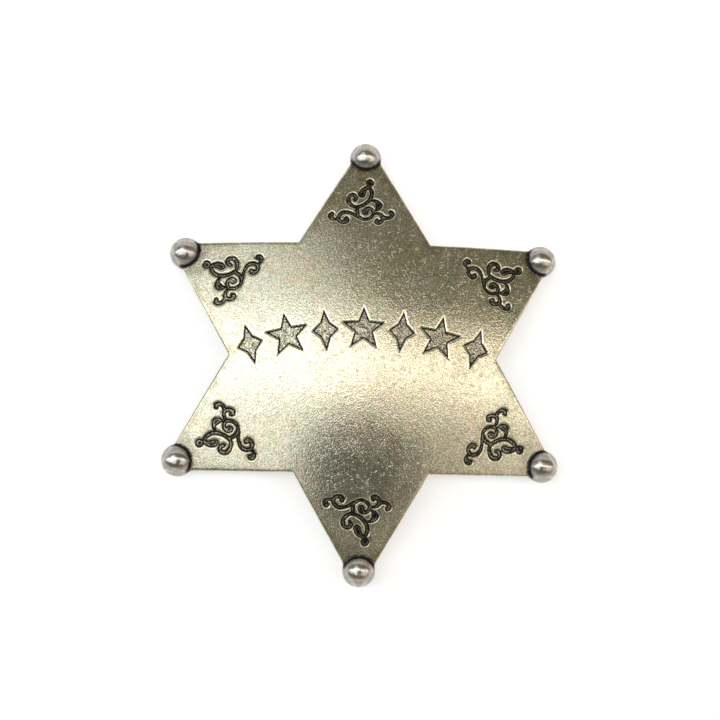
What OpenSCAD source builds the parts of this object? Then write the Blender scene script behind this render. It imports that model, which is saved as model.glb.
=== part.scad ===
// Six-pointed star badge, lying face up on its six ball tips. All sizes are in millimetres.
// +Z points out of the face, +Y towards the top arm, and the origin lies under the star's centre
// on the surface that the badge rests on.

/* [Star plate] */
// Distance from the centre to the sharp corner where the two edges of an arm would meet
corner_reach = 35.5; // [29:0.5:44]
// Thickness of the plate
plate_t = 1.6; // [1.2:0.1:2.2]
// Radius of the domed face
dome_r = 135; // [105:5:260]

/* [Ball tips] */
// Diameter of each ball
ball_d = 5; // [4.2:0.1:6.4]
// Distance from an arm's sharp corner back to the centre of its ball
ball_setback = 3.2; // [2.6:0.1:4]

/* [Sunk scrolls] */
// Width of one scroll over its two end curls
scroll_w = 10.2; // [8:0.1:12.4]
// Distance from an arm's sharp corner back to the middle of its scroll
scroll_setback = 11.5; // [9.5:0.1:14]
// Depth of the sunk scrolls
scroll_depth = 0.32; // [0.15:0.01:0.6]

/* [Arched row of sunk devices] */
// Height of one lozenge, measured across the row
lozenge_h = 6.2; // [4.5:0.1:7.5]
// Width of one lozenge, measured along the row
lozenge_w = 4; // [3:0.1:5]
// Metal left between a lozenge and the star beside it
device_gap = 0.6; // [0.4:0.1:1.2]
// Metal left between an end lozenge and the notch at the star's side
row_margin = 1; // [0.6:0.1:2.5]
// Radius of the arc that runs through the middles of the devices
row_arc_r = 59; // [45:1:90]
// Height of the arc's crown above the star's centre
row_crown = 4.1; // [2:0.1:6]
// Depth of the sunk devices
device_depth = 0.3; // [0.15:0.01:0.6]

/* [Brooch pin on the back] */
// Length of the base bar
bar_l = 30; // [24:1:36]
// Width of the base bar
bar_w = 4; // [3.2:0.1:5]
// Thickness of the base bar
bar_t = 0.6; // [0.4:0.1:1]
// Height of the pin above the star's centre, towards the top arm
pin_up = 6; // [3:0.5:8]
// Diameter of the pin wire
wire_d = 0.9; // [0.7:0.1:1.2]
// Diameter of the round hinge block that holds the wire
barrel_d = 2.2; // [1.8:0.1:2.8]
// Width of the hinge block, measured across the wire
barrel_w = 2.6; // [2:0.1:3.2]
// Thickness of the catch's bent strip
catch_t = 0.6; // [0.5:0.1:0.8]
// Width of the catch's bent strip, measured along the wire
catch_w = 3; // [2:0.1:4]
// Distance from each end of the base bar to the middle of the hinge block or catch
end_inset = 2.5; // [2:0.1:4]
// Gap between the base bar and the back of the plate
seat_gap = 0.1; // [0.05:0.01:0.2]
// Gap between the lowest point of the pin and the surface that the badge lies on
floor_gap = 0.25; // [0.1:0.05:0.5]

/* [Hidden] */

arms = 6;
arm_step = 360 / arms;
tip_angle = 60;
top_arm = 90;
ball_reach = corner_reach - ball_setback;
tip_half = ball_setback * tan(tip_angle / 2);
notch_reach = corner_reach * sin(tip_angle / 2) / sin(180 - (tip_angle + arm_step) / 2);
scroll_reach = corner_reach - scroll_setback;

// The balls are centred on the plate's middle surface and rest on the ground
mid_r = dome_r - plate_t / 2;
dome_z = ball_d / 2 - sqrt(mid_r * mid_r - ball_reach * ball_reach);
back_r = dome_r - plate_t;

devices_each_side = 3;
row_pitch = (notch_reach - row_margin - lozenge_w / 2) / devices_each_side;
device_star_points = 5;
device_star_step = 360 / device_star_points;
device_star_r = (row_pitch - lozenge_w / 2 - device_gap) / sin(device_star_step);
device_star_inner = 0.42;
lozenge_waist = 0.36;

wire_r = wire_d / 2;
wire_z = floor_gap + max(barrel_d / 2, wire_r + catch_t);
hinge_x = bar_l / 2 - end_inset;
tip_l = 2;
tip_d = 0.2;
rivet_d = 1.1;
rivet_stand = 0.3;
catch_grip = 0.05;
catch_lip_angle = 25;

scroll_share = scroll_w / 1000;
curve_steps = 2;
end_facets = 14;
joint_fillet = 0.05;
cut_clear = 1;
dome_fn = 220;
round_fn = 64;

// One row for each arm: direction, whether the scroll is mirrored, its turn in degrees,
// and its shift across and outwards in thousandths of the scroll's width
scroll_places = [
    [90, false, -2.5, -7, -9],
    [30, false, 7, -31, 2],
    [-30, true, 0, -24, -13],
    [-90, true, -2.8, 5, -7],
    [210, false, 0, 0, 0],
    [150, true, 6.6, -6, 20]
];

// One list for each stroke of a scroll, with a row for each bend: place across the arm, place outwards
// and half the stroke's width there, all in thousandths of the scroll's width
scroll_strokes = [
    // Round head
    [[55, 395, 64], [58, 390, 62]],
    // Upper leaf
    [[42, 330, 28], [-15, 285, 45], [-60, 230, 55], [-70, 180, 52], [-52, 132, 18]],
    // Stem that runs down from the head and rolls up at the left
    [[45, 325, 28], [85, 265, 32], [95, 180, 32], [68, 110, 32], [13, 45, 30], [-60, -5, 28],
     [-140, -28, 27], [-210, 2, 31], [-255, 58, 37], [-262, 118, 35], [-228, 165, 31],
     [-177, 172, 33], [-146, 130, 38], [-157, 88, 30]],
    // Right leaf
    [[88, 98, 18], [155, 92, 28], [198, 60, 43], [215, 18, 55], [200, -28, 37], [163, -68, 13]],
    // Heart of the middle spiral
    [[140, -114, 28], [117, -62, 30], [68, -38, 31], [17, -64, 45], [12, -100, 55]],
    // Ring round the heart
    [[-105, -23, 28], [-113, -100, 31], [-92, -173, 31], [-32, -216, 27], [30, -220, 25],
     [94, -190, 27], [135, -130, 28]],
    // Left base arm, its end curl and the curl below it
    [[-105, -186, 28], [-177, -145, 25], [-260, -123, 28], [-332, -134, 31], [-382, -181, 33],
     [-403, -236, 31]],
    [[-403, -240, 30], [-452, -250, 23], [-500, -236, 37], [-514, -195, 46], [-496, -170, 40]],
    [[-398, -231, 31], [-369, -276, 33], [-314, -290, 33], [-267, -262, 43], [-270, -228, 38]],
    // Right base arm with its end curl, and the curl below it
    [[135, -123, 26], [190, -111, 23], [253, -131, 30], [294, -171, 35], [358, -177, 28],
     [417, -145, 30], [425, -100, 39], [400, -80, 36]],
    [[289, -173, 33], [272, -226, 35], [226, -262, 37], [192, -250, 39], [196, -220, 28]]
];

// A point on the smooth curve from row b to row c, with the rows a and d before and after them
function curve_point(a, b, c, d, t) =
    (2 * b + (c - a) * t + (2 * a - 5 * b + 4 * c - d) * t * t + (3 * b - a - 3 * c + d) * t * t * t) / 2;

// The rows before the first and after the last continue the stroke straight
function row_at(rows, i) =
    i < 0 ? 2 * rows[0] - rows[1]
    : i >= len(rows) ? 2 * rows[len(rows) - 1] - rows[len(rows) - 2]
    : rows[i];

function smooth(rows) = concat(
    [for (i = [0:len(rows) - 2]) for (k = [0:curve_steps - 1])
        curve_point(row_at(rows, i - 1), rows[i], rows[i + 1], row_at(rows, i + 2), k / curve_steps)],
    [rows[len(rows) - 1]]
);

// The point on one side of a stroke at sample i, where side is 1 or -1
function side_point(line, i, side) =
    let (
        along = row_at(line, i + 1) - row_at(line, i - 1),
        across = [-along.y, along.x] / norm([along.x, along.y])
    )
    [line[i].x, line[i].y] + side * line[i].z * across;

module stroke(rows) {
    line = smooth(rows) * scroll_share;
    for (i = [0:len(line) - 2])
        polygon([
            side_point(line, i, 1), side_point(line, i + 1, 1),
            side_point(line, i + 1, -1), side_point(line, i, -1)
        ]);
    for (end = [line[0], line[len(line) - 1]])
        translate([end.x, end.y])
            circle(r = end.z, $fn = end_facets);
}

// Outline of one scroll, with the sharp corners between its strokes closed a little
module scroll_outline() {
    offset(delta = -joint_fillet)
        offset(delta = joint_fillet)
            for (rows = scroll_strokes)
                stroke(rows);
}

// Puts a flat shape on the face at a distance from the centre along +Y, sunk by a depth
module sink_at(reach, depth) {
    translate([0, 0, dome_z])
        rotate([-asin(reach / dome_r), 0, 0])
            translate([0, 0, dome_r - depth])
                linear_extrude(height = depth + cut_clear)
                    children();
}

module scroll_cuts() {
    for (place = scroll_places)
        rotate(place[0] - top_arm)
            sink_at(scroll_reach, scroll_depth)
                mirror([place[1] ? 1 : 0, 0])
                    translate([place[3], place[4]] * scroll_share)
                        rotate(place[2])
                            scroll_outline();
}

module device_star() {
    polygon([for (k = [0:device_star_points - 1], inner = [0, 1])
        let (r = device_star_r * (inner == 1 ? device_star_inner : 1), a = (k + inner / 2) * device_star_step)
        [r * sin(a), r * cos(a)]]);
}

// A lozenge with hollowed sides
module device_lozenge() {
    w = lozenge_w / 2;
    h = lozenge_h / 2;
    polygon([
        [0, h], [w * lozenge_waist, h * lozenge_waist], [w, 0], [w * lozenge_waist, -h * lozenge_waist],
        [0, -h], [-w * lozenge_waist, -h * lozenge_waist], [-w, 0], [-w * lozenge_waist, h * lozenge_waist]
    ]);
}

// Stars and lozenges in turn along the arc, with a star on its crown and a lozenge at each end
module row_cuts() {
    for (i = [-devices_each_side:devices_each_side]) {
        turn = i * row_pitch / row_arc_r * 180 / PI;
        x = row_arc_r * sin(turn);
        y = row_crown - row_arc_r * (1 - cos(turn));
        direction = atan2(y, x) - top_arm;
        rotate(direction)
            sink_at(norm([x, y]), device_depth)
                rotate(-direction - turn) {
                    if (i % 2 == 0) device_star();
                    else device_lozenge();
                }
    }
}

// Ball of the dome's centre, turned so that its poles lie far from the badge
module dome(r) {
    translate([0, 0, dome_z])
        rotate([90, 0, 0])
            sphere(r = r, $fn = dome_fn);
}

module star_outline() {
    polygon([for (k = [0:arms - 1])
        let (a = top_arm + arm_step * k, notch_a = a + arm_step / 2)
        each [
            ball_reach * [cos(a), sin(a)] - tip_half * [-sin(a), cos(a)],
            ball_reach * [cos(a), sin(a)] + tip_half * [-sin(a), cos(a)],
            notch_reach * [cos(notch_a), sin(notch_a)]
        ]]);
}

module plate() {
    difference() {
        intersection() {
            linear_extrude(height = dome_z + dome_r + cut_clear)
                star_outline();
            dome(dome_r);
        }
        dome(back_r);
    }
}

module balls() {
    for (k = [0:arms - 1])
        rotate(top_arm + arm_step * k)
            translate([ball_reach, 0, ball_d / 2])
                sphere(d = ball_d, $fn = round_fn);
}

module star() {
    color([0.6, 0.57, 0.48])
        difference() {
            union() {
                plate();
                balls();
            }
            scroll_cuts();
            row_cuts();
        }
}

// Base bar with round ends that follows the back of the plate
module base_bar() {
    difference() {
        translate([0, pin_up, 0])
            linear_extrude(height = dome_z + dome_r) {
                square([bar_l - bar_w, bar_w], center = true);
                for (x = [-1, 1] * (bar_l - bar_w) / 2)
                    translate([x, 0])
                        circle(d = bar_w, $fn = round_fn);
            }
        dome(back_r - seat_gap - bar_t);
    }
}

// Round block on a post, with the heads of its rivet at both sides
module hinge_block() {
    translate([hinge_x, pin_up, wire_z]) {
        rotate([90, 0, 0]) {
            cylinder(d = barrel_d, h = barrel_w, center = true, $fn = round_fn);
            cylinder(d = rivet_d, h = barrel_w + 2 * rivet_stand, center = true, $fn = round_fn);
        }
        translate([-barrel_d / 2, -barrel_w / 2, 0])
            cube([barrel_d, barrel_w, dome_z + dome_r - wire_z]);
    }
}

// Strip that comes down beside the wire and is bent up under it
module catch_hook() {
    inner = wire_r - catch_grip;
    translate([-hinge_x, pin_up, wire_z]) {
        rotate([0, 90, 0])
            rotate_extrude(angle = -180 - catch_lip_angle, start = 90, $fn = round_fn)
                translate([inner, -catch_w / 2])
                    square([catch_t, catch_w]);
        translate([-catch_w / 2, inner, 0])
            cube([catch_w, catch_t, dome_z + dome_r - wire_z]);
    }
}

// Straight wire with a sharpened tip that passes through the catch
module wire() {
    tip_x = -hinge_x - catch_w / 2;
    translate([hinge_x, pin_up, wire_z])
        rotate([0, -90, 0]) {
            cylinder(d = wire_d, h = hinge_x - tip_x, $fn = round_fn);
            translate([0, 0, hinge_x - tip_x])
                cylinder(d1 = wire_d, d2 = tip_d, h = tip_l, $fn = round_fn);
        }
}

module pin() {
    color([0.78, 0.77, 0.74])
        intersection() {
            union() {
                base_bar();
                hinge_block();
                catch_hook();
                wire();
            }
            dome(back_r - seat_gap);
        }
}

star();
pin();
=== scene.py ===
"""A six-pointed star badge of antiqued white metal, lying face up on its six ball tips.

+Z points out of the face and +Y towards the top arm. Meshes are made in millimetres and scaled to metres
when they are finished."""

from math import cos, pi, radians, sin, sqrt

import bmesh
import bpy
import numpy as np
from mathutils import Matrix, Vector
from mathutils.kdtree import KDTree


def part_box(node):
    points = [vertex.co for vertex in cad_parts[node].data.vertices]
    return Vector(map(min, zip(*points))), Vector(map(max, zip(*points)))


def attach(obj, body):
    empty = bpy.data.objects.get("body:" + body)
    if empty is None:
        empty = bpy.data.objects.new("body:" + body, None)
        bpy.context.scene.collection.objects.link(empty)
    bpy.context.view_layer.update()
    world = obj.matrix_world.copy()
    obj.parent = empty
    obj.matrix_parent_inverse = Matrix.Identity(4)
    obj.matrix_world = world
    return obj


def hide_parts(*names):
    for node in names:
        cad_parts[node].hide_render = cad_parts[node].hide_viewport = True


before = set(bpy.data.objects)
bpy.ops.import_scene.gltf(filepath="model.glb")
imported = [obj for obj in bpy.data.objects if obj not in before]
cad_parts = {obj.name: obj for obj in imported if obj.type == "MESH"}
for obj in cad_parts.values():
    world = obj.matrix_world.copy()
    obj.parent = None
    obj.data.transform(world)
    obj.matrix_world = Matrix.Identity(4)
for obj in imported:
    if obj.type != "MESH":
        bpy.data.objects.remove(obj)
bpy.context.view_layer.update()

# Star plate
# The body of the badge is cast in white metal as a thin six-pointed star, domed towards the viewer.
# Its cast edge is tumbled round, and each arm ends flat inside the ball that is soldered to its tip.

MM = 0.001
star_low, star_high = (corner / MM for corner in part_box("star"))
plate_t = 1.6
dome_r = 135.0
ball_r = 2.5
ball_setback = 3.2
ball_reach = star_high.y - ball_r
corner_reach = ball_reach + ball_setback
notch_reach = corner_reach / sqrt(3)
dome_z = star_high.z - dome_r
arm_angles = [90, 30, -30, -90, 210, 150]

face_rim = 0.3
face_rim_segments = 4
back_rim = 0.15
back_rim_segments = 2
plate_grid = 1.0
same_place = 1e-4


def pointing(degrees, reach=1.0):
    """The point at a distance from the centre in a direction in the plan."""
    return Vector((reach * cos(radians(degrees)), reach * sin(radians(degrees)), 0))


def thickened(bm, height):
    """Gives a flat sheet a thickness upwards."""
    top = bmesh.ops.extrude_face_region(bm, geom=bm.faces[:])["geom"]
    bmesh.ops.translate(bm, vec=(0, 0, height), verts=[v for v in top if isinstance(v, bmesh.types.BMVert)])


def edges_at(bm, height):
    """The outline's edges at one height of a flat slab."""
    level = [e for e in bm.edges if all(abs(v.co.z - height) < same_place for v in e.verts)]
    return [e for e in level if any(abs(f.normal.z) < 0.5 for f in e.link_faces)]


star = bmesh.new()
bmesh.ops.create_circle(star, cap_ends=True, cap_tris=True, segments=6, radius=notch_reach,
                        matrix=Matrix.Rotation(radians(30), 4, "Z"))
for edge in [e for e in star.edges if e.is_boundary]:
    outwards = sum((v.co for v in edge.verts), Vector()).normalized()
    arm = bmesh.ops.extrude_edge_only(star, edges=[edge])
    tip = [v for v in arm["geom"] if isinstance(v, bmesh.types.BMVert)]
    bmesh.ops.pointmerge(star, verts=tip, merge_co=outwards * corner_reach)
bmesh.ops.subdivide_edges(star, edges=star.edges[:], cuts=round(notch_reach / plate_grid) - 1,
                          use_grid_fill=True)
for angle in arm_angles:
    bmesh.ops.bisect_plane(star, geom=star.verts[:] + star.edges[:] + star.faces[:], dist=same_place,
                           plane_co=pointing(angle, ball_reach), plane_no=pointing(angle), clear_outer=True)

thickened(star, plate_t)
bmesh.ops.recalc_face_normals(star, faces=star.faces[:])
for height, radius, segments in ((plate_t, face_rim, face_rim_segments), (0, back_rim, back_rim_segments)):
    bmesh.ops.bevel(star, geom=edges_at(star, height), offset=radius, offset_type="OFFSET",
                    segments=segments, profile=0.5, affect="EDGES", material=-1, clamp_overlap=True)

for v in star.verts:
    shell_r = dome_r - plate_t + v.co.z
    v.co.z = dome_z + sqrt(shell_r ** 2 - v.co.x ** 2 - v.co.y ** 2)

# Ball tips
# One solid ball of the same metal is soldered over the end of each arm, and the badge rests on them.
# The solder leaves a small fillet where a ball meets the plate.

ball_centres = [pointing(angle, ball_reach) + Vector((0, 0, ball_r)) for angle in arm_angles]
ball_subdivisions = 5
solder_reach = 0.3
solder_passes = 6
solder_grid = 0.2
rim_grid = 0.3
grid_growth = 0.6
weld = 0.02
crease_slack = 0.003
face_slack = 0.005
ball_slack = 0.001
tiny = 1e-9


def as_piece(bm, name):
    """A new object in the scene that holds the bmesh."""
    piece = bpy.data.objects.new(name, bpy.data.meshes.new(name))
    bm.to_mesh(piece.data)
    bm.free()
    bpy.context.scene.collection.objects.link(piece)
    return piece


def fused(first, second):
    """One closed bmesh from two that cross each other."""
    base, other = as_piece(first, "base"), as_piece(second, "other")
    joint = base.modifiers.new("joint", "BOOLEAN")
    joint.operation, joint.solver, joint.object = "UNION", "EXACT", other
    whole = bmesh.new()
    whole.from_object(base, bpy.context.evaluated_depsgraph_get())
    for piece in (base, other):
        bpy.data.meshes.remove(piece.data)
    return whole


def places(bm):
    """The places of all vertices, one row each."""
    return np.array([v.co[:] for v in bm.verts])


def dome_height(points):
    """How high the domed face lies at each point."""
    return dome_z + np.sqrt(dome_r ** 2 - (points[:, :2] ** 2).sum(1))


def ball_gap(points):
    """How far each point lies outside the nearest ball."""
    centres = np.array(ball_centres)
    return np.linalg.norm(points[:, None] - centres, axis=2).min(1) - ball_r


def on_face(points):
    """Which points lie on the domed face."""
    return (np.abs(points[:, 2] - dome_height(points)) < face_slack) & (ball_gap(points) > -ball_slack)


def cut_to_triangles(bm):
    """Cuts each larger face along its shortest diagonal, so that no edge is made twice."""
    bmesh.ops.triangulate(bm, faces=[f for f in bm.faces if len(f.verts) > 3], quad_method="SHORT_EDGE")


def split_long(bm, wanted, rounds=6, spare=1.3):
    """Splits each edge that is longer than wanted says at its two ends, with a little to spare."""
    for _ in range(rounds):
        bm.verts.index_update()
        points, longest = places(bm), wanted(bm)
        ends = np.array([[v.index for v in e.verts] for e in bm.edges])
        length = np.linalg.norm(points[ends[:, 0]] - points[ends[:, 1]], axis=1)
        allowed = np.minimum(longest[ends[:, 0]], longest[ends[:, 1]])
        bm.edges.ensure_lookup_table()
        long_edges = [bm.edges[i] for i in np.nonzero(length > allowed * spare)[0]]
        if not long_edges:
            break
        bmesh.ops.subdivide_edges(bm, edges=long_edges, cuts=1)
        cut_to_triangles(bm)


def crease_points(bm):
    """The points along which the balls and the plate meet."""
    bm.verts.index_update()
    on_ball = np.abs(ball_gap(places(bm))) < crease_slack
    ball_faces = {f for f in bm.faces if all(on_ball[v.index] for v in f.verts)}
    edge_of_ball = [v for v in bm.verts if on_ball[v.index] and not ball_faces.issuperset(v.link_faces)]
    return [v.co.copy() for v in edge_of_ball if not ball_faces.isdisjoint(v.link_faces)]


def tree_of(points):
    """A search tree over the points."""
    tree = KDTree(len(points))
    for i, point in enumerate(points):
        tree.insert(point, i)
    tree.balance()
    return tree


def crease_gap(bm):
    """How far each vertex lies from the crease between plate and ball."""
    return np.array([crease.find(v.co)[2] for v in bm.verts])


def nearest(plan, start, end, start_half=0.0, end_half=0.0, at_once=1000):
    """For each place, how far it lies outside the nearest of several tapered strips, and the way out."""
    along = end - start
    gaps, ways = [], []
    for some in np.array_split(plan, len(plan) // at_once + 1):
        t = np.clip(((some[:, None] - start) * (along.conj() / np.abs(along) ** 2)).real, 0, 1)
        off = some[:, None] - start - t * along
        gap = np.abs(off) - start_half - t * (end_half - start_half)
        row, best = np.arange(len(some)), gap.argmin(1)
        gaps.append(gap[row, best])
        ways.append(off[row, best] / np.maximum(np.abs(off[row, best]), tiny))
    return np.concatenate(gaps), np.concatenate(ways)


def rim_gap(bm):
    """How far each vertex lies from the plate's outline in the plan."""
    reach = [corner_reach if k % 2 else notch_reach for k in range(12)]
    corners = np.array(reach) * np.exp(1j * pi / 6 * np.arange(12))
    points = places(bm)
    return nearest(points[:, 0] + 1j * points[:, 1], corners, np.roll(corners, -1))[0]


def blank_grid(bm):
    """How long the edges at each vertex may be: short round the solder and along the outline."""
    by_solder = solder_grid + grid_growth * crease_gap(bm)
    return np.minimum(by_solder, rim_grid + grid_growth * rim_gap(bm))


balls = bmesh.new()
for centre in ball_centres:
    bmesh.ops.create_icosphere(balls, subdivisions=ball_subdivisions, radius=ball_r,
                               matrix=Matrix.Translation(centre))
star = fused(star, balls)
bmesh.ops.triangulate(star, faces=star.faces[:])
bmesh.ops.remove_doubles(star, verts=star.verts[:], dist=weld)
crease = tree_of(crease_points(star))
split_long(star, blank_grid)
soldered = [v for v, gap in zip(star.verts[:], crease_gap(star)) if gap < solder_reach]
for _ in range(solder_passes):
    bmesh.ops.smooth_vert(star, verts=soldered, factor=0.5,
                          use_axis_x=True, use_axis_y=True, use_axis_z=True)

# Sunk scrolls
# Each arm carries one small scroll ornament, struck into the face before the metal is darkened.
# Its edges are rubbed round with the face, and each scroll sits a little differently on its arm.

scroll_w = 10.2
scroll_setback = 11.5
scroll_depth = 0.32
scroll_reach = corner_reach - scroll_setback
scroll_half_span = 0.7 * scroll_w
curve_steps = 3

# For each arm: direction, whether the scroll is mirrored, its turn in degrees, and its shift across the arm
# and outwards in thousandths of the scroll's width
scroll_places = [
    (90, False, -2.5, -7, -9),
    (30, False, 7, -31, 2),
    (-30, True, 0, -24, -13),
    (-90, True, -2.8, 5, -7),
    (210, False, 0, 0, 0),
    (150, True, 6.6, -6, 20),
]

# For each stroke, a row for each bend: place across the arm, place outwards and half the stroke's width
# there, in thousandths of the scroll's width
scroll_strokes = {
    "round head": [(55, 395, 64), (58, 390, 62)],
    "upper leaf": [(40, 330, 28), (-8, 290, 42), (-45, 240, 54), (-57, 190, 58)],
    "stem": [(45, 325, 28), (85, 265, 32), (95, 180, 32), (68, 110, 32), (13, 45, 30), (-60, -5, 28),
             (-140, -28, 27), (-210, 2, 31), (-255, 58, 37), (-262, 118, 35), (-228, 165, 31),
             (-177, 172, 33), (-146, 130, 38), (-157, 88, 30)],
    "right leaf": [(88, 98, 18), (155, 92, 28), (198, 60, 43), (215, 18, 55), (200, -28, 37),
                   (163, -68, 13)],
    "heart": [(140, -114, 28), (117, -62, 30), (68, -38, 31), (17, -64, 45), (12, -100, 55)],
    "ring": [(-105, -23, 28), (-113, -100, 31), (-92, -173, 31), (-32, -216, 27), (30, -220, 25),
             (94, -190, 27), (135, -130, 28)],
    "left arm": [(-105, -186, 28), (-177, -145, 25), (-260, -123, 28), (-332, -134, 31), (-382, -181, 33),
                 (-403, -236, 31)],
    "left end": [(-403, -240, 30), (-452, -250, 23), (-500, -236, 37), (-514, -195, 46), (-496, -170, 40)],
    "left curl": [(-398, -231, 31), (-369, -276, 33), (-314, -290, 33), (-267, -262, 43), (-270, -228, 38)],
    "right arm": [(135, -123, 26), (190, -111, 23), (253, -131, 30), (294, -171, 35), (358, -177, 28),
                  (417, -145, 30), (425, -100, 39), (400, -80, 36)],
    "right curl": [(289, -173, 33), (272, -226, 35), (226, -262, 37), (192, -250, 39), (196, -220, 28)],
}


def smooth_stroke(rows):
    """The strips along the smooth curve through a stroke's rows: their starts, ends and half widths."""
    rows = np.array(rows) * scroll_w / 1000
    rows = np.vstack([2 * rows[0] - rows[1], rows, 2 * rows[-1] - rows[-2]])
    a, b, c, d = (rows[i:len(rows) - 3 + i, None] for i in range(4))
    t = np.arange(curve_steps)[:, None] / curve_steps
    line = 2 * b + (c - a) * t + (2 * a - 5 * b + 4 * c - d) * t ** 2 + (3 * b - a - 3 * c + d) * t ** 3
    line = np.vstack([line.reshape(-1, 3) / 2, rows[-2]])
    middle, half = line[:, 0] + 1j * line[:, 1], line[:, 2]
    return middle[:-1], middle[1:], half[:-1], half[1:]


scroll_strips = [np.concatenate(part) for part in zip(*map(smooth_stroke, scroll_strokes.values()))]


def scroll_edge(plan):
    """How far each place on the face lies outside the nearest scroll's strokes, and the way out."""
    gap, away = np.full(len(plan), np.inf), np.ones(len(plan), complex)
    for angle, mirrored, turn, across, outwards in scroll_places:
        arm, own_turn = np.exp(1j * radians(angle - 90)), np.exp(1j * radians(turn))
        own = plan / arm - 1j * scroll_reach
        own = -own.conj() if mirrored else own
        own = (own - (across + 1j * outwards) * scroll_w / 1000) / own_turn
        near = np.abs(own) < scroll_half_span
        gap[near], way = nearest(own[near], *scroll_strips)
        way = way * own_turn
        away[near] = (-way.conj() if mirrored else way) * arm
    return gap, away


# Arched row
# Seven devices are struck across the middle on a shallow arc: five-pointed stars and hollow-sided
# lozenges in turn. Their floors keep the grain of the punch.

lozenge_h = 6.2
lozenge_w = 4.0
lozenge_waist = 0.36
device_gap = 0.6
row_margin = 1.0
row_arc_r = 59.0
row_crown = 4.1
device_depth = 0.3
devices_each_side = 3
row_pitch = (notch_reach - row_margin - lozenge_w / 2) / devices_each_side
device_star_r = (row_pitch - lozenge_w / 2 - device_gap) / sin(radians(72))
device_star_inner = 0.42


def device_outline(number):
    """The corners of one device of the row, in its place: 0 is on the arc's crown."""
    if number % 2 == 0:
        reach = np.where(np.arange(10) % 2, device_star_inner, 1) * device_star_r
        corners = reach * np.exp(1j * (pi / 2 + pi / 5 * np.arange(10)))
    else:
        tips = np.array([lozenge_w / 2, 1j * lozenge_h / 2, -lozenge_w / 2, -1j * lozenge_h / 2])
        waists = lozenge_waist * (tips + np.roll(tips, -1))
        corners = np.stack([tips, waists], 1).ravel()
    turn = np.exp(-1j * number * row_pitch / row_arc_r)
    return corners * turn + 1j * (row_crown - row_arc_r + row_arc_r * turn)


def device_edge(plan):
    """How far each place on the face lies outside the nearest device's outline, and the way out."""
    outlines = [device_outline(number) for number in range(-devices_each_side, devices_each_side + 1)]
    start = np.concatenate(outlines)
    end = np.concatenate([np.roll(corners, -1) for corners in outlines])
    gap, away = nearest(plan, start, end)
    x, y = plan.real[:, None], plan.imag[:, None]
    spans = (start.imag > y) != (end.imag > y)
    slope = (end.real - start.real) / (end.imag - start.imag)
    inside = (spans & (x < start.real + slope * (y - start.imag))).sum(1) % 2 == 1
    return np.where(inside, -gap, gap), np.where(inside, -away, away)


# The rounded edge of all sunk work, from outside to inside: distance from the drawn edge in millimetres,
# and share of the full depth
edge_profile = np.array([
    (0.33, 0),
    (0.21, 0.025),
    (0.12, 0.085),
    (0.03, 0.22),
    (-0.08, 0.68),
    (-0.19, 1),
])
edge_grid = 0.18
edge_grid_growth = 0.5
edge_snap = 0.03
sliver = 0.01
far_off = 9.0


def sunk_edge(bm):
    """For each vertex, how far it lies outside the nearest sunk edge, the way out, and the full depth."""
    points = places(bm)
    gap, away, depth = np.full(len(points), far_off), np.ones(len(points), complex), np.zeros(len(points))
    face = np.nonzero(on_face(points))[0]
    plan = points[face, 0] + 1j * points[face, 1]
    for edge_of, full_depth in ((scroll_edge, scroll_depth), (device_edge, device_depth)):
        own_gap, way = edge_of(plan)
        nearer = own_gap < gap[face]
        rows = face[nearer]
        gap[rows], away[rows], depth[rows] = own_gap[nearer], way[nearer], full_depth
    return gap, away, depth


def slide(bm, chosen, level):
    """Slides the chosen vertices along the face until they lie at one distance from the sunk edge."""
    gap, away, _ = sunk_edge(bm)
    for v, shift in zip(bm.verts, (level - gap) * away):
        if v in chosen:
            x, y = v.co.x + shift.real, v.co.y + shift.imag
            v.co = x, y, dome_z + sqrt(dome_r ** 2 - x ** 2 - y ** 2)


def score_line(bm, level):
    """Runs edges of the mesh along the line that lies at one distance from the sunk edge."""
    gap = sunk_edge(bm)[0]
    slide(bm, {v for v, g in zip(bm.verts, gap) if abs(g - level) < edge_snap}, level)
    bm.verts.index_update()
    gap = sunk_edge(bm)[0] - level
    scored = {v for v, g in zip(bm.verts, gap) if abs(g) < edge_snap / 3}
    for edge in bm.edges[:]:
        a, b = edge.verts
        if gap[a.index] * gap[b.index] < 0 and a not in scored and b not in scored:
            scored.add(bmesh.utils.edge_split(edge, a, gap[a.index] / (gap[a.index] - gap[b.index]))[1])
    bmesh.ops.connect_verts(bm, verts=[v for v in bm.verts if v in scored])
    cut_to_triangles(bm)
    slide(bm, scored, level)


def sunk_grid(bm):
    """How long the edges at each vertex may be: short beside a sunk edge and longer away from it."""
    past_edge = np.maximum(np.abs(sunk_edge(bm)[0]) - edge_profile[0, 0], 0)
    return edge_grid + edge_grid_growth * past_edge


split_long(star, sunk_grid)
for level in edge_profile[:, 0]:
    score_line(star, level)
bmesh.ops.dissolve_degenerate(star, dist=sliver, edges=star.edges[:])
cut_to_triangles(star)

gap, _, depth = sunk_edge(star)
tip_gap, outline_gap = ball_gap(places(star)), rim_gap(star)
sunk = depth * np.interp(gap, edge_profile[::-1, 0], edge_profile[::-1, 1])
for v, drop in zip(star.verts, sunk):
    v.co.z -= drop
    for i in range(3):
        v.co[i] = min(max(v.co[i], star_low[i]), star_high[i])

# Antiqued finish
# The whole badge is darkened in a bath and then rubbed bright, so the dark tarnish stays in the sunk work,
# in the corners round the balls and on the back, and the metal shows clean and yellowish everywhere else.
# Painted shade darkens the balls' sides and spreads out from the solder, and painted highlights lighten
# the rubbed rims and a band in each scroll's floor.

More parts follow.
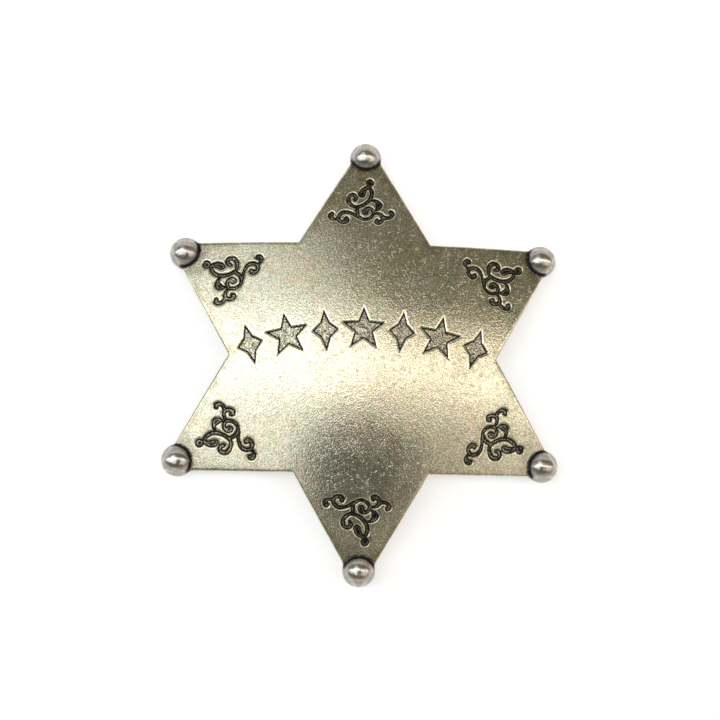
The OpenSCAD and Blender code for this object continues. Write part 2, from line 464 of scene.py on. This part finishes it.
metal_colour = (0.93, 0.88, 0.69, 1)
metal_warm = (0.93, 0.83, 0.56, 1)
metal_cool = (0.85, 0.87, 0.67, 1)
tip_colour = (0.66, 0.63, 0.58, 1)
grain_red = (0.98, 0.66, 0.58, 1)
grain_green = (0.62, 0.86, 0.44, 1)
grain_colour = (0.30, 0.27, 0.20, 1)
stain_colour = (0.30, 0.26, 0.15, 1)
tarnish_and_shade_colour = (0.022, 0.021, 0.02, 1)
cloud_share = 0.8
stain_share = 0.5
# spots_left and tarnish_left are what stays on the rubbed rims, which are lightened as a painted highlight
spots_left = 0.2
tarnish_left = 0.15
face_metallic = 0.9
face_roughness = 0.16
tip_roughness = 0.23
tarnish_roughness = 0.34
dull_rise = 0.06
scratch_shine = 0.08
grain_size = 0.24
patch_size = 0.9
dent_size = 1.0
cloud_size = 5.0
scratch_length = 9.0
scratch_share = 0.6
relief_height = 0.022
scratch_depth = 0.25
pit_depth = 0.45
dent_height = 3.0

# How strongly each unevenness shows: on the open face, and where the surface is calm, which is on the balls
# and on the back
hue_shares = (0.46, 0.07)
spot_shares = (0.62, 0.19)
pit_shares = (0.35, 0.05)
tarnish_grain_shares = (0.25, 0.10)
tarnish_patch_shares = (0.6, 0.15)
relief_shares = (1.0, 0.3)


def smooth_step(low, high, value):
    """0 at low, 1 at high, and a smooth rise between them."""
    t = np.clip((value - low) / (high - low), 0, 1)
    return t * t * (3 - 2 * t)


def add_node(tree, kind, settings=None, **inputs):
    """A new node with its settings, and its inputs' values or links.

    An underscore in an input's name stands for a space, and input0 is the first input."""
    made = tree.nodes.new("ShaderNode" + kind)
    for name, value in (settings or {}).items():
        setattr(made, name, value)
    for name, value in inputs.items():
        numbered = name.startswith("input")
        socket = made.inputs[int(name.removeprefix("input")) if numbered else name.replace("_", " ")]
        if isinstance(value, bpy.types.NodeSocket):
            tree.links.new(value, socket)
        else:
            socket.default_value = value
    return made


def add_math(tree, operation, first, second=0.0, third=0.0):
    """The result of a Math node."""
    made = add_node(tree, "Math", {"operation": operation}, input0=first, input1=second, input2=third)
    return made.outputs[0]


def product(tree, *values):
    """The product of several values."""
    whole = values[0]
    for value in values[1:]:
        whole = add_math(tree, "MULTIPLY", whole, value)
    return whole


def between(tree, mask, clear, full):
    """A value that goes from clear where the mask is 0 to full where it is 1."""
    return add_math(tree, "MULTIPLY_ADD", mask, full - clear, clear)


def mixed(tree, factor, first, second):
    """The result of a colour Mix node."""
    mix = add_node(tree, "Mix", {"data_type": "RGBA"}, input0=factor, input6=first, input7=second)
    return mix.outputs[2]


def ramped(tree, value, low, high):
    """A mask that goes smoothly from 0 at low to 1 at high, which may also be the lesser of the two."""
    return add_node(tree, "MapRange", {"interpolation_type": "SMOOTHSTEP"}, Value=value, From_Min=low,
                    From_Max=high).outputs["Result"]


def new_group(name, inputs, outputs):
    """An empty shader group of number sockets, with its inputs' sockets and its output node."""
    tree = bpy.data.node_groups.new(name, "ShaderNodeTree")
    for direction, labels in (("INPUT", inputs), ("OUTPUT", outputs)):
        for label in labels:
            tree.interface.new_socket(label, in_out=direction, socket_type="NodeSocketFloat")
    return tree, tree.nodes.new("NodeGroupInput").outputs, tree.nodes.new("NodeGroupOutput")


def noise_at(tree, size, detail=2.0, roughness=0.5, stretch=(1, 1, 1), turn=(0, 0, 0)):
    """Noise on Object coordinates, with features of about one size in millimetres."""
    place = add_node(tree, "TexCoord").outputs["Object"]
    turned = add_node(tree, "Mapping", {"vector_type": "TEXTURE"},
                      Vector=place, Scale=stretch, Rotation=turn)
    scale = add_math(tree, "DIVIDE", 1 / MM, size)
    noise = add_node(tree, "TexNoise", Vector=turned.outputs[0], Scale=scale, Detail=detail,
                     Roughness=roughness)
    return noise.outputs["Fac"]


grain, given, result = new_group("Cast grain", ["Size"], ["Height", "Pits", "Shade", "Tint"])
fine = noise_at(grain, given["Size"], 2.0, 0.6)
coarse = noise_at(grain, product(grain, given["Size"], 3.1), 2.0, 0.5, turn=(0.4, 0.9, 0.2))
other = noise_at(grain, product(grain, given["Size"], 1.7), 1.0, 0.5, turn=(1.9, 0.4, 1.1))
low_places = ramped(grain, add_math(grain, "MULTIPLY_ADD", coarse, 0.9, fine), 0.8, 0.62)
grain.links.new(add_math(grain, "MULTIPLY_ADD", coarse, 0.4, fine), result.inputs["Height"])
grain.links.new(low_places, result.inputs["Pits"])
grain.links.new(ramped(grain, fine, 0.4, 0.6), result.inputs["Shade"])
grain.links.new(ramped(grain, other, 0.35, 0.65), result.inputs["Tint"])

mottle, given, result = new_group("Mottle", ["Size", "More"], ["Warm", "Cool", "Dull", "Stain"])
for label, turn, low, high in (("Warm", (0.3, 0, 1.1), 0.46, 0.66), ("Cool", (1.2, 0.5, 0), 0.48, 0.68),
                               ("Dull", (0.2, 2.1, 0.7), 0.44, 0.7)):
    cloud = noise_at(mottle, given["Size"], 3.0, 0.6, turn=turn)
    mottle.links.new(ramped(mottle, cloud, low, high), result.inputs[label])
cloud = noise_at(mottle, product(mottle, given["Size"], 0.4), 6.0, 0.72, turn=(0.9, 0.2, 1.7))
covered = add_math(mottle, "MULTIPLY_ADD", given["More"], 0.2, cloud)
mottle.links.new(ramped(mottle, covered, 0.52, 0.76), result.inputs["Stain"])

scratches, given, result = new_group("Fine scratches", ["Length", "Amount"], ["Mask"])
lines = 0.0
for turn in (0.6, 2.2):
    streak = noise_at(scratches, given["Length"], 0.0, 0.5, stretch=(1, 0.04, 0.04), turn=(0, 0, turn))
    broken = noise_at(scratches, given["Length"], 0.0, 0.5, turn=(turn, 0, 0))
    off = add_math(scratches, "ABSOLUTE", add_math(scratches, "SUBTRACT", streak, 0.5))
    line = product(scratches, ramped(scratches, off, 0.05, 0.0), ramped(scratches, broken, 0.62, 0.66))
    lines = add_math(scratches, "MAXIMUM", lines, line)
scratches.links.new(product(scratches, lines, given["Amount"]), result.inputs["Mask"])


def group_in(tree, group, **inputs):
    """The outputs of a group placed in a material with its own values and links."""
    return add_node(tree, "Group", {"node_tree": group}, **inputs).outputs


def attribute(tree, name):
    """The value of one of the piece's point attributes."""
    return add_node(tree, "Attribute", {"attribute_name": name}).outputs["Fac"]


def new_material(name):
    """A material with its node tree and its Principled shader."""
    material = bpy.data.materials.new(name)
    material.use_nodes = True
    return material, material.node_tree, material.node_tree.nodes["Principled BSDF"]


antiqued, tree, shader = new_material("Antiqued plate")
tip = attribute(tree, "tip")
calm = attribute(tree, "calm")
wear_and_sheen = attribute(tree, "wear_and_sheen")
speckle = group_in(tree, grain, Size=grain_size)
clouds = group_in(tree, mottle, Size=cloud_size, More=attribute(tree, "stain"))
marks = group_in(tree, scratches, Length=scratch_length, Amount=scratch_share)["Mask"]

metal = mixed(tree, product(tree, clouds["Warm"], cloud_share), metal_colour, metal_warm)
metal = mixed(tree, product(tree, clouds["Cool"], cloud_share), metal, metal_cool)
metal = mixed(tree, tip, metal, tip_colour)
hue = mixed(tree, speckle["Tint"], grain_green, grain_red)
metal = mixed(tree, between(tree, calm, *hue_shares), metal, hue)
metal = mixed(tree, product(tree, clouds["Stain"], stain_share), metal, stain_colour)
spots = product(tree, speckle["Shade"], between(tree, calm, *spot_shares),
                between(tree, wear_and_sheen, 1, spots_left))
metal = mixed(tree, spots, metal, grain_colour)

fine_change = add_math(tree, "SUBTRACT", speckle["Shade"], 0.5)
broad_change = add_math(tree, "SUBTRACT", noise_at(tree, patch_size, 2.0, 0.6), 0.5)
uneven = add_math(tree, "ADD", product(tree, fine_change, between(tree, calm, *tarnish_grain_shares)),
                  product(tree, broad_change, between(tree, calm, *tarnish_patch_shares)))
# The dark mask is the tarnish together with the painted shade round the balls, made uneven by grain and
# patches
dark = ramped(tree, add_math(tree, "ADD", attribute(tree, "darkening"), uneven), 0.1, 0.9)
dark = add_math(tree, "MAXIMUM", dark, product(tree, speckle["Pits"], between(tree, calm, *pit_shares)))
dark = product(tree, dark, between(tree, wear_and_sheen, 1, tarnish_left))
tree.links.new(mixed(tree, dark, metal, tarnish_and_shade_colour), shader.inputs["Base Color"])
full_metal = add_math(tree, "MAXIMUM", tip, dark)
tree.links.new(between(tree, full_metal, face_metallic, 1), shader.inputs["Metallic"])

rough = between(tree, tip, face_roughness, tip_roughness)
rough = add_math(tree, "MULTIPLY_ADD", clouds["Dull"], dull_rise, rough)
rough = add_math(tree, "MULTIPLY_ADD", marks, -scratch_shine, rough)
rough = add_math(tree, "MULTIPLY_ADD", dark, tarnish_roughness - face_roughness, rough)
tree.links.new(rough, shader.inputs["Roughness"])

relief = add_math(tree, "MULTIPLY_ADD", marks, -scratch_depth, speckle["Height"])
relief = add_math(tree, "MULTIPLY_ADD", speckle["Pits"], -pit_depth, relief)
relief = add_math(tree, "MULTIPLY_ADD", attribute(tree, "punched"), speckle["Height"], relief)
relief = product(tree, relief, between(tree, calm, *relief_shares))
dents = product(tree, tip, dent_height)
relief = add_math(tree, "MULTIPLY_ADD", dents, noise_at(tree, dent_size, 1.0, 0.5), relief)
bump = add_node(tree, "Bump", Height=relief, Strength=1.0, Distance=relief_height * MM)
tree.links.new(bump.outputs["Normal"], shader.inputs["Normal"])

# Where each mask lies. The steps of gap are millimetres from the edge of the sunk work, and less than 0 is
# inside it. Those of the other gaps are millimetres from the plate's outline, a ball or the solder line, and
# those of ball_side are shares of the ball's radius above its middle
solder_tarnish_and_shade = 0.9
solder_dark_reach = 0.75
ball_dark_reach = 1.125
back_tarnish = 0.55
# Painted shade: a dark belt round the side of each ball below its crown
ball_side_shade = 0.45

points = places(star)
solder_gap = crease_gap(star)
ball_side = points[:, 2] / ball_r - 1
off_ball = tip_gap > 0.05
device = depth == device_depth
on_tip = smooth_step(0.25, 0.0, tip_gap)
back = smooth_step(0.05, 0.3, dome_height(points) - points[:, 2] - sunk)

# What is taken from the tarnish inside the sunk work: on a device, by rubbing, its whole floor, and in a
# scroll a band along the foot of the wall, which is lightened as a painted glint
device_floor = 0.5 * smooth_step(-0.12, -0.26, gap)
scroll_floor_glint = 0.42 * smooth_step(-0.16, -0.25, gap) - 0.4 * smooth_step(-0.32, -0.45, gap)

# The dark round the solder is patina in the crease, with painted shade spread out from it, and it reaches
# further up the ball than out over the plate
solder_dark_here = np.where(tip_gap < 0.01, ball_dark_reach, solder_dark_reach)


def painted(bm, masks):
    """Stores each mask with the vertices, for the material to read."""
    for name, values in masks.items():
        layer = bm.verts.layers.float.new(name)
        for v, value in zip(bm.verts, values):
            v[layer] = value


# The first mask is the tarnish in the sunk work, at the solder and on the back, with painted shade round the
# balls
painted(star, {
    "darkening": np.maximum.reduce([
        smooth_step(0.07, -0.04, gap) - np.where(device, device_floor, scroll_floor_glint),
        # patina at the solder, with painted shade spread out from it
        solder_tarnish_and_shade * smooth_step(solder_dark_here, 0.05, solder_gap),
        back_tarnish * back * off_ball,
        # painted shade round the side of each ball
        ball_side_shade * smooth_step(0.93, 0.75, ball_side) * ~off_ball,
    ]),
    "stain": np.maximum.reduce([
        smooth_step(1.6, 0.1, outline_gap),
        smooth_step(0.9, 0.1, gap) * (depth == scroll_depth),
        smooth_step(3.5, 0.5, solder_gap),
    ]) * off_ball,
    # The outline and the rims round the sunk work are rubbed, and lightened as a painted highlight
    "wear_and_sheen": np.maximum(0.7 * smooth_step(0.4, 0.05, outline_gap) * (solder_gap > solder_dark_reach),
                       0.8 * smooth_step(0.33, 0.2, gap) * smooth_step(0.06, 0.12, gap)),
    "tip": on_tip,
    "calm": np.maximum(on_tip, back),
    "punched": device * smooth_step(-0.1, -0.2, gap),
})


def finished(bm, name, material, node):
    """The bmesh as a piece of the badge: in metres, smooth, with its material, in its CAD node's place."""
    bmesh.ops.scale(bm, vec=(MM, MM, MM), verts=bm.verts[:])
    piece = as_piece(bm, name)
    piece.data.shade_smooth()
    piece.data.materials.append(material)
    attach(piece, "root")
    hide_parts(node)
    return piece


finished(star, "star_badge", antiqued, "star")

# Brooch pin
# A stock steel fitting on the back: a thin bar soldered under the dome, a riveted hinge block, a hooked
# catch bent from strip, and a sprung wire that lies closed in the catch.

bar_l = 30.0
bar_w = 4.0
bar_t = 0.6
pin_up = 6.0
bar_sink = 0.1
bar_top_r = dome_r - plate_t - bar_sink
bar_grid = 1.0
bar_end_sides = 32
hinge_x = 12.5
wire_d = 0.9
wire_z = 1.35
wire_end = 14.0
wire_tip = 2.0
wire_tip_d = 0.2
barrel_d = 2.2
barrel_w = 2.6
post_in = 0.15
rivet_d = 1.1
rivet_l = 3.2
catch_t = 0.6
catch_w = 3.0
catch_r = 0.4
catch_turn = 205
post_top = 4.6
edge_round = 0.12
edge_round_segments = 2
pin_grid = 0.8
pin_sliver = 0.005
rod_sides = 40
wire_sides = 32
catch_steps = 28


def rounded(bm, radius, steepest=1.0):
    """Rounds the edges of a solid that are sharper than an angle in radians."""
    bmesh.ops.recalc_face_normals(bm, faces=bm.faces[:])
    sharp = [e for e in bm.edges if e.is_manifold and e.calc_face_angle() > steepest]
    bmesh.ops.bevel(bm, geom=sharp, offset=radius, offset_type="OFFSET", segments=edge_round_segments,
                    profile=0.5, affect="EDGES", material=-1, clamp_overlap=True)
    return bm


def turned_rod(place, diameter, length):
    """A rounded rod along Y with its middle at a place."""
    rod = bmesh.new()
    bmesh.ops.create_cone(rod, cap_ends=True, segments=rod_sides, radius1=diameter / 2, radius2=diameter / 2,
                          depth=length, matrix=Matrix.Translation(place) @ Matrix.Rotation(pi / 2, 4, "X"))
    return rounded(rod, edge_round)


bar = bmesh.new()
bmesh.ops.create_circle(bar, cap_ends=True, segments=bar_end_sides, radius=bar_w / 2,
                        matrix=Matrix.Rotation(pi / bar_end_sides, 4, "Z"))
for v in bar.verts:
    v.co.x += (bar_l - bar_w) / 2 * (1 if v.co.x > 0 else -1)
for x in np.arange(-bar_l / 2 + bar_grid, bar_l / 2, bar_grid):
    bmesh.ops.bisect_plane(bar, geom=bar.verts[:] + bar.edges[:] + bar.faces[:],
                           plane_co=(x, 0, 0), plane_no=(1, 0, 0))
thickened(bar, bar_t)
rounded(bar, edge_round)
for v in bar.verts:
    v.co.y += pin_up
    shell_r = bar_top_r - bar_t + v.co.z
    v.co.z = dome_z + sqrt(shell_r ** 2 - v.co.x ** 2 - v.co.y ** 2)

hinge_place = Vector((hinge_x, pin_up, wire_z))
post = bmesh.new()
bmesh.ops.create_cube(post, size=1)
bmesh.ops.scale(post, vec=(barrel_d - post_in, barrel_w - 2 * post_in, post_top - wire_z),
                verts=post.verts[:])
bmesh.ops.translate(post, vec=(hinge_x, pin_up, (post_top + wire_z) / 2), verts=post.verts[:])
rounded(post, edge_round)

catch = bmesh.new()
bmesh.ops.create_grid(catch, x_segments=1, y_segments=1, size=0.5)
bmesh.ops.scale(catch, vec=(catch_w, catch_t, 1), verts=catch.verts[:])
bmesh.ops.translate(catch, vec=(-hinge_x, pin_up + catch_r + catch_t / 2, wire_z), verts=catch.verts[:])
thickened(catch, post_top - wire_z)
bent = [f for f in catch.faces if abs(f.calc_center_median().z - wire_z) < same_place]
bmesh.ops.spin(catch, geom=bent + bent[0].edges[:] + bent[0].verts[:], cent=(0, pin_up, wire_z),
               axis=(-1, 0, 0), angle=radians(catch_turn), steps=catch_steps, use_duplicate=False)
bmesh.ops.remove_doubles(catch, verts=catch.verts[:], dist=same_place)
rounded(catch, edge_round)

wire = bmesh.new()
side = [(hinge_x, 0), (hinge_x, wire_d / 2), (-wire_end, wire_d / 2), (-wire_end - wire_tip, wire_tip_d / 2),
        (-wire_end - wire_tip, 0)]
corners = [wire.verts.new((x, off, 0)) for x, off in side]
drawn = [wire.edges.new(pair) for pair in zip(corners, corners[1:])]
bmesh.ops.spin(wire, geom=corners + drawn, axis=(1, 0, 0), angle=2 * pi, steps=wire_sides, use_merge=True)
bmesh.ops.remove_doubles(wire, verts=wire.verts[:], dist=same_place)
bmesh.ops.translate(wire, vec=(0, pin_up, wire_z), verts=wire.verts[:])
bmesh.ops.recalc_face_normals(wire, faces=wire.faces[:])

barrel = turned_rod(hinge_place, barrel_d, barrel_w)
rivet = turned_rod(hinge_place, rivet_d, rivet_l)
pin = bar
for other in (post, barrel, rivet, catch, wire):
    pin = fused(pin, other)
bmesh.ops.triangulate(pin, faces=pin.faces[:])
bmesh.ops.dissolve_degenerate(pin, dist=pin_sliver, edges=pin.edges[:])
cut_to_triangles(pin)
split_long(pin, lambda bm: np.full(len(bm.verts), pin_grid))

steel_colour = (0.62, 0.61, 0.58, 1)
steel_dull = (0.42, 0.40, 0.36, 1)
steel_dark_colour = (0.09, 0.08, 0.07, 1)
steel_roughness = 0.3
steel_grain_size = 0.12
steel_cloud_size = 3.0
steel_scratch_length = 4.0
steel_relief_height = 0.01
steel_stain = 0.3
dull_patches = 0.6
dull_grain = 0.25
darkened_share = 0.9
darkened_start = 0.25
darkened_clouds = 0.5
darkened_rubbed = 0.5
darkened_reach = 0.5
dull_rough = 0.15
darkened_rough = 0.3
worn_shine = 0.08
steel_scratch_depth = 0.5
smooth_angle = 0.6

steel, tree, shader = new_material("Pin steel")
wear_and_sheen = attribute(tree, "wear_and_sheen")
speckle = group_in(tree, grain, Size=steel_grain_size)
clouds = group_in(tree, mottle, Size=steel_cloud_size, More=steel_stain)
marks = group_in(tree, scratches, Length=steel_scratch_length, Amount=1.0)["Mask"]
metal = mixed(tree, product(tree, clouds["Stain"], dull_patches), steel_colour, steel_dull)
metal = mixed(tree, product(tree, speckle["Shade"], dull_grain), metal, steel_dull)
# The steel is darker where it meets the plate and in its corners, with cloudy edges
held = add_math(tree, "SUBTRACT", attribute(tree, "darkening"), darkened_start)
held = add_math(tree, "MULTIPLY_ADD", clouds["Dull"], darkened_clouds, held)
steel_darkened = product(tree, ramped(tree, held, 0.1, 0.9), darkened_share)
steel_darkened = add_math(tree, "SUBTRACT", steel_darkened, product(tree, wear_and_sheen, darkened_rubbed))
tree.links.new(mixed(tree, steel_darkened, metal, steel_dark_colour), shader.inputs["Base Color"])
shader.inputs["Metallic"].default_value = 1.0
rough = add_math(tree, "MULTIPLY_ADD", clouds["Dull"], dull_rough, steel_roughness)
rough = add_math(tree, "MULTIPLY_ADD", steel_darkened, darkened_rough, rough)
rough = add_math(tree, "MULTIPLY_ADD", wear_and_sheen, -worn_shine, rough)
tree.links.new(rough, shader.inputs["Roughness"])
relief = add_math(tree, "MULTIPLY_ADD", marks, -steel_scratch_depth, speckle["Height"])
bump = add_node(tree, "Bump", Height=relief, Distance=steel_relief_height * MM)
tree.links.new(bump.outputs["Normal"], shader.inputs["Normal"])

# The fitting is darker where it meets the plate and in its corners, and its edges are rubbed. Bends are in
# radians
points = places(pin)
plate_back = dome_z + np.sqrt((dome_r - plate_t) ** 2 - (points[:, :2] ** 2).sum(1))
bends = [[e.calc_face_angle_signed() for e in v.link_edges] for v in pin.verts]
in_corner = np.array([max(0, -min(angles)) for angles in bends])
on_edge = np.array([max(0, *angles) for angles in bends])
painted(pin, {
    "darkening": np.maximum(smooth_step(darkened_reach, 0.1, plate_back - points[:, 2]),
                          smooth_step(0.3, 0.9, in_corner)),
    "wear_and_sheen": smooth_step(0.3, 0.6, on_edge),
})

pin = finished(pin, "brooch_pin", steel, "pin")
pin.data.set_sharp_from_angle(angle=smooth_angle)

# Floor, light and camera
# The badge lies on a plain white floor under one wide soft overhead light, which reaches further up at the
# left and has a brighter strip across it. A dark card hung above the lower arm shades part of the face, and
# the camera looks down from close above.

floor_half = 2000
floor_colour = (0.9, 0.9, 0.9, 1)
floor_roughness = 0.8
floor_glow = 0.48
white_light = (1, 1, 1, 1)

floor = bmesh.new()
bmesh.ops.create_grid(floor, x_segments=1, y_segments=1, size=floor_half * MM)
floor = as_piece(floor, "floor")
white, tree, shader = new_material("White floor")
shader.inputs["Base Color"].default_value = floor_colour
shader.inputs["Roughness"].default_value = floor_roughness
shader.inputs["Emission Color"].default_value = white_light
shader.inputs["Emission Strength"].default_value = floor_glow
behind = add_node(tree, "NewGeometry").outputs["Backfacing"]
shown = add_node(tree, "MixShader", input0=behind, input1=shader.outputs[0],
                 input2=add_node(tree, "BsdfTransparent").outputs[0])
tree.links.new(shown.outputs[0], tree.nodes["Material Output"].inputs["Surface"])
floor.data.materials.append(white)

card_place = Vector((4.5, -55, 152))
card_half = Vector((41.5, 40))
card_sides = 64
card_colour = (0.05, 0.05, 0.05, 1)
card_roughness = 1.0
card = bmesh.new()
card_matrix = Matrix.Translation(card_place * MM) @ Matrix.Diagonal((*card_half * MM, 1, 1))
bmesh.ops.create_circle(card, cap_ends=True, segments=card_sides, radius=1, matrix=card_matrix)
card = as_piece(card, "shade_card")
card.visible_camera = False
dark_card, tree, shader = new_material("Shade card")
shader.inputs["Base Color"].default_value = card_colour
shader.inputs["Roughness"].default_value = card_roughness
card.data.materials.append(dark_card)

# The strength of each light, with the share of the strip's that is left in its dip
room_light = 0.14
wall_light = 0.72
box_light = 1.3
left_light = 1.12
strip_light = 1.95
dip_share = 0.65

# The colour of the light at the left and at the right, and where it is only the room's
cool_light = (0.97, 1.0, 1.06, 1)
warm_light = (1.04, 0.96, 0.90, 1)
room_colour = (1.08, 0.99, 0.74, 1)

# The strength of light at which its colour starts to turn to the room's, and at which it has turned
room_turn = (0.7, 0.2)

# The edges of the light in degrees from straight overhead, each from where it starts to where it is full.
# These lie across, and more than 0 is to the right
left_edge = (-90, -80)
right_edge = (90, 80)
left_across = (17.7, 1.7)
dip_middle = 4.6
dip_edge = (4.4, 0)
warm_across = (-12, 12)

# These lie upwards, towards the top arm, and the foot and the strip are tilted by a share of across
foot_edge = (-29, -23)
foot_tilt = 0.27
box_top = (15.6, 9.2)
strip_foot = (1.5, 3)
strip_top = (12.6, 10.3)
strip_tilt = 0.07
wall_top = (48, 58)
wall_foot = (-52, -70)

# These lie half way between, up to the right and up to the left
slant_share = 0.7
up_right_edge = (24, 3.5)
up_left_edge = (47, 40.6)

# How the light changes across: from one angle to another by a share of its strength
changes_across = [(-10, 14, -0.6), (-20, -32, 0.3), (22, 30, 0.25)]

room = bpy.data.worlds.new("Room")
bpy.context.scene.world = room
room.use_nodes = True
tree = room.node_tree
way = add_node(tree, "SeparateXYZ", Vector=add_node(tree, "TexCoord").outputs["Generated"]).outputs


def degrees_from_zenith(side):
    """The angle by which the light comes from one side of straight overhead."""
    return add_math(tree, "DEGREES", add_math(tree, "ARCTAN2", side, way["Z"]))


def edged(value, start, full):
    """How much light is left past one of its edges: none at start, and all of it at full."""
    return ramped(tree, value, start, full)


across = degrees_from_zenith(way["X"])
up = degrees_from_zenith(way["Y"])
sideways = product(tree, across, slant_share)
up_right = add_math(tree, "MULTIPLY_ADD", up, slant_share, sideways)
up_left = add_math(tree, "SUBTRACT", product(tree, up, slant_share), sideways)
foot_place = add_math(tree, "MULTIPLY_ADD", across, foot_tilt, up)
strip_place = add_math(tree, "MULTIPLY_ADD", across, strip_tilt, up)
off_dip = add_math(tree, "ABSOLUTE", add_math(tree, "SUBTRACT", across, dip_middle))

hung = product(tree, edged(across, *left_edge), edged(across, *right_edge), edged(foot_place, *foot_edge))
strength = 1.0
for start, end, change in changes_across:
    strength = add_math(tree, "MULTIPLY_ADD", edged(across, start, end), change, strength)
box = product(tree, hung, strength, edged(up, *box_top), box_light)
left = product(tree, hung, strength, edged(across, *left_across), edged(up_right, *up_right_edge),
               edged(up_left, *up_left_edge), left_light)
strip = product(tree, hung, edged(strip_place, *strip_foot), edged(strip_place, *strip_top),
                between(tree, edged(off_dip, *dip_edge), 1, dip_share))
walls = add_math(tree, "MAXIMUM", edged(up, *wall_top), edged(up, *wall_foot))

soft = add_math(tree, "MAXIMUM", box, left)
soft = add_math(tree, "MULTIPLY_ADD", strip, strip_light, soft)
light = add_math(tree, "MAXIMUM", between(tree, walls, room_light, wall_light), soft)
tint = mixed(tree, edged(across, *warm_across), cool_light, warm_light)
tint = mixed(tree, edged(light, *room_turn), tint, room_colour)
seen = add_node(tree, "LightPath").outputs["Is Camera Ray"]
background = tree.nodes["Background"]
tree.links.new(mixed(tree, seen, tint, white_light), background.inputs["Color"])
unseen_light = product(tree, light, add_math(tree, "SUBTRACT", 1.0, seen))
tree.links.new(add_math(tree, "ADD", unseen_light, seen), background.inputs["Strength"])

camera_turns = (-0.1267, 0.03307, -0.01726)
camera_place = Vector((-0.506, -0.706, 142)) * MM
focal_pixels = 939.9
picture_pixels = 720
sensor_width = 36
clip_near = 5 * MM
tilted = Matrix.Identity(3)
for turn, axis in zip(camera_turns, "XYZ"):
    tilted = tilted @ Matrix.Rotation(turn, 3, axis)
looking = tilted.transposed()
camera = bpy.data.objects.new("camera", bpy.data.cameras.new("camera"))
camera.data.sensor_width = sensor_width
camera.data.lens = sensor_width * focal_pixels / picture_pixels
camera.data.clip_start = clip_near
face_top = Vector((0, 0, star_high.z * MM))
camera.matrix_world = Matrix.Translation(looking @ camera_place + face_top) @ looking.to_4x4()
bpy.context.scene.collection.objects.link(camera)
bpy.context.scene.camera = camera
bpy.context.scene.view_settings.view_transform = "Standard"
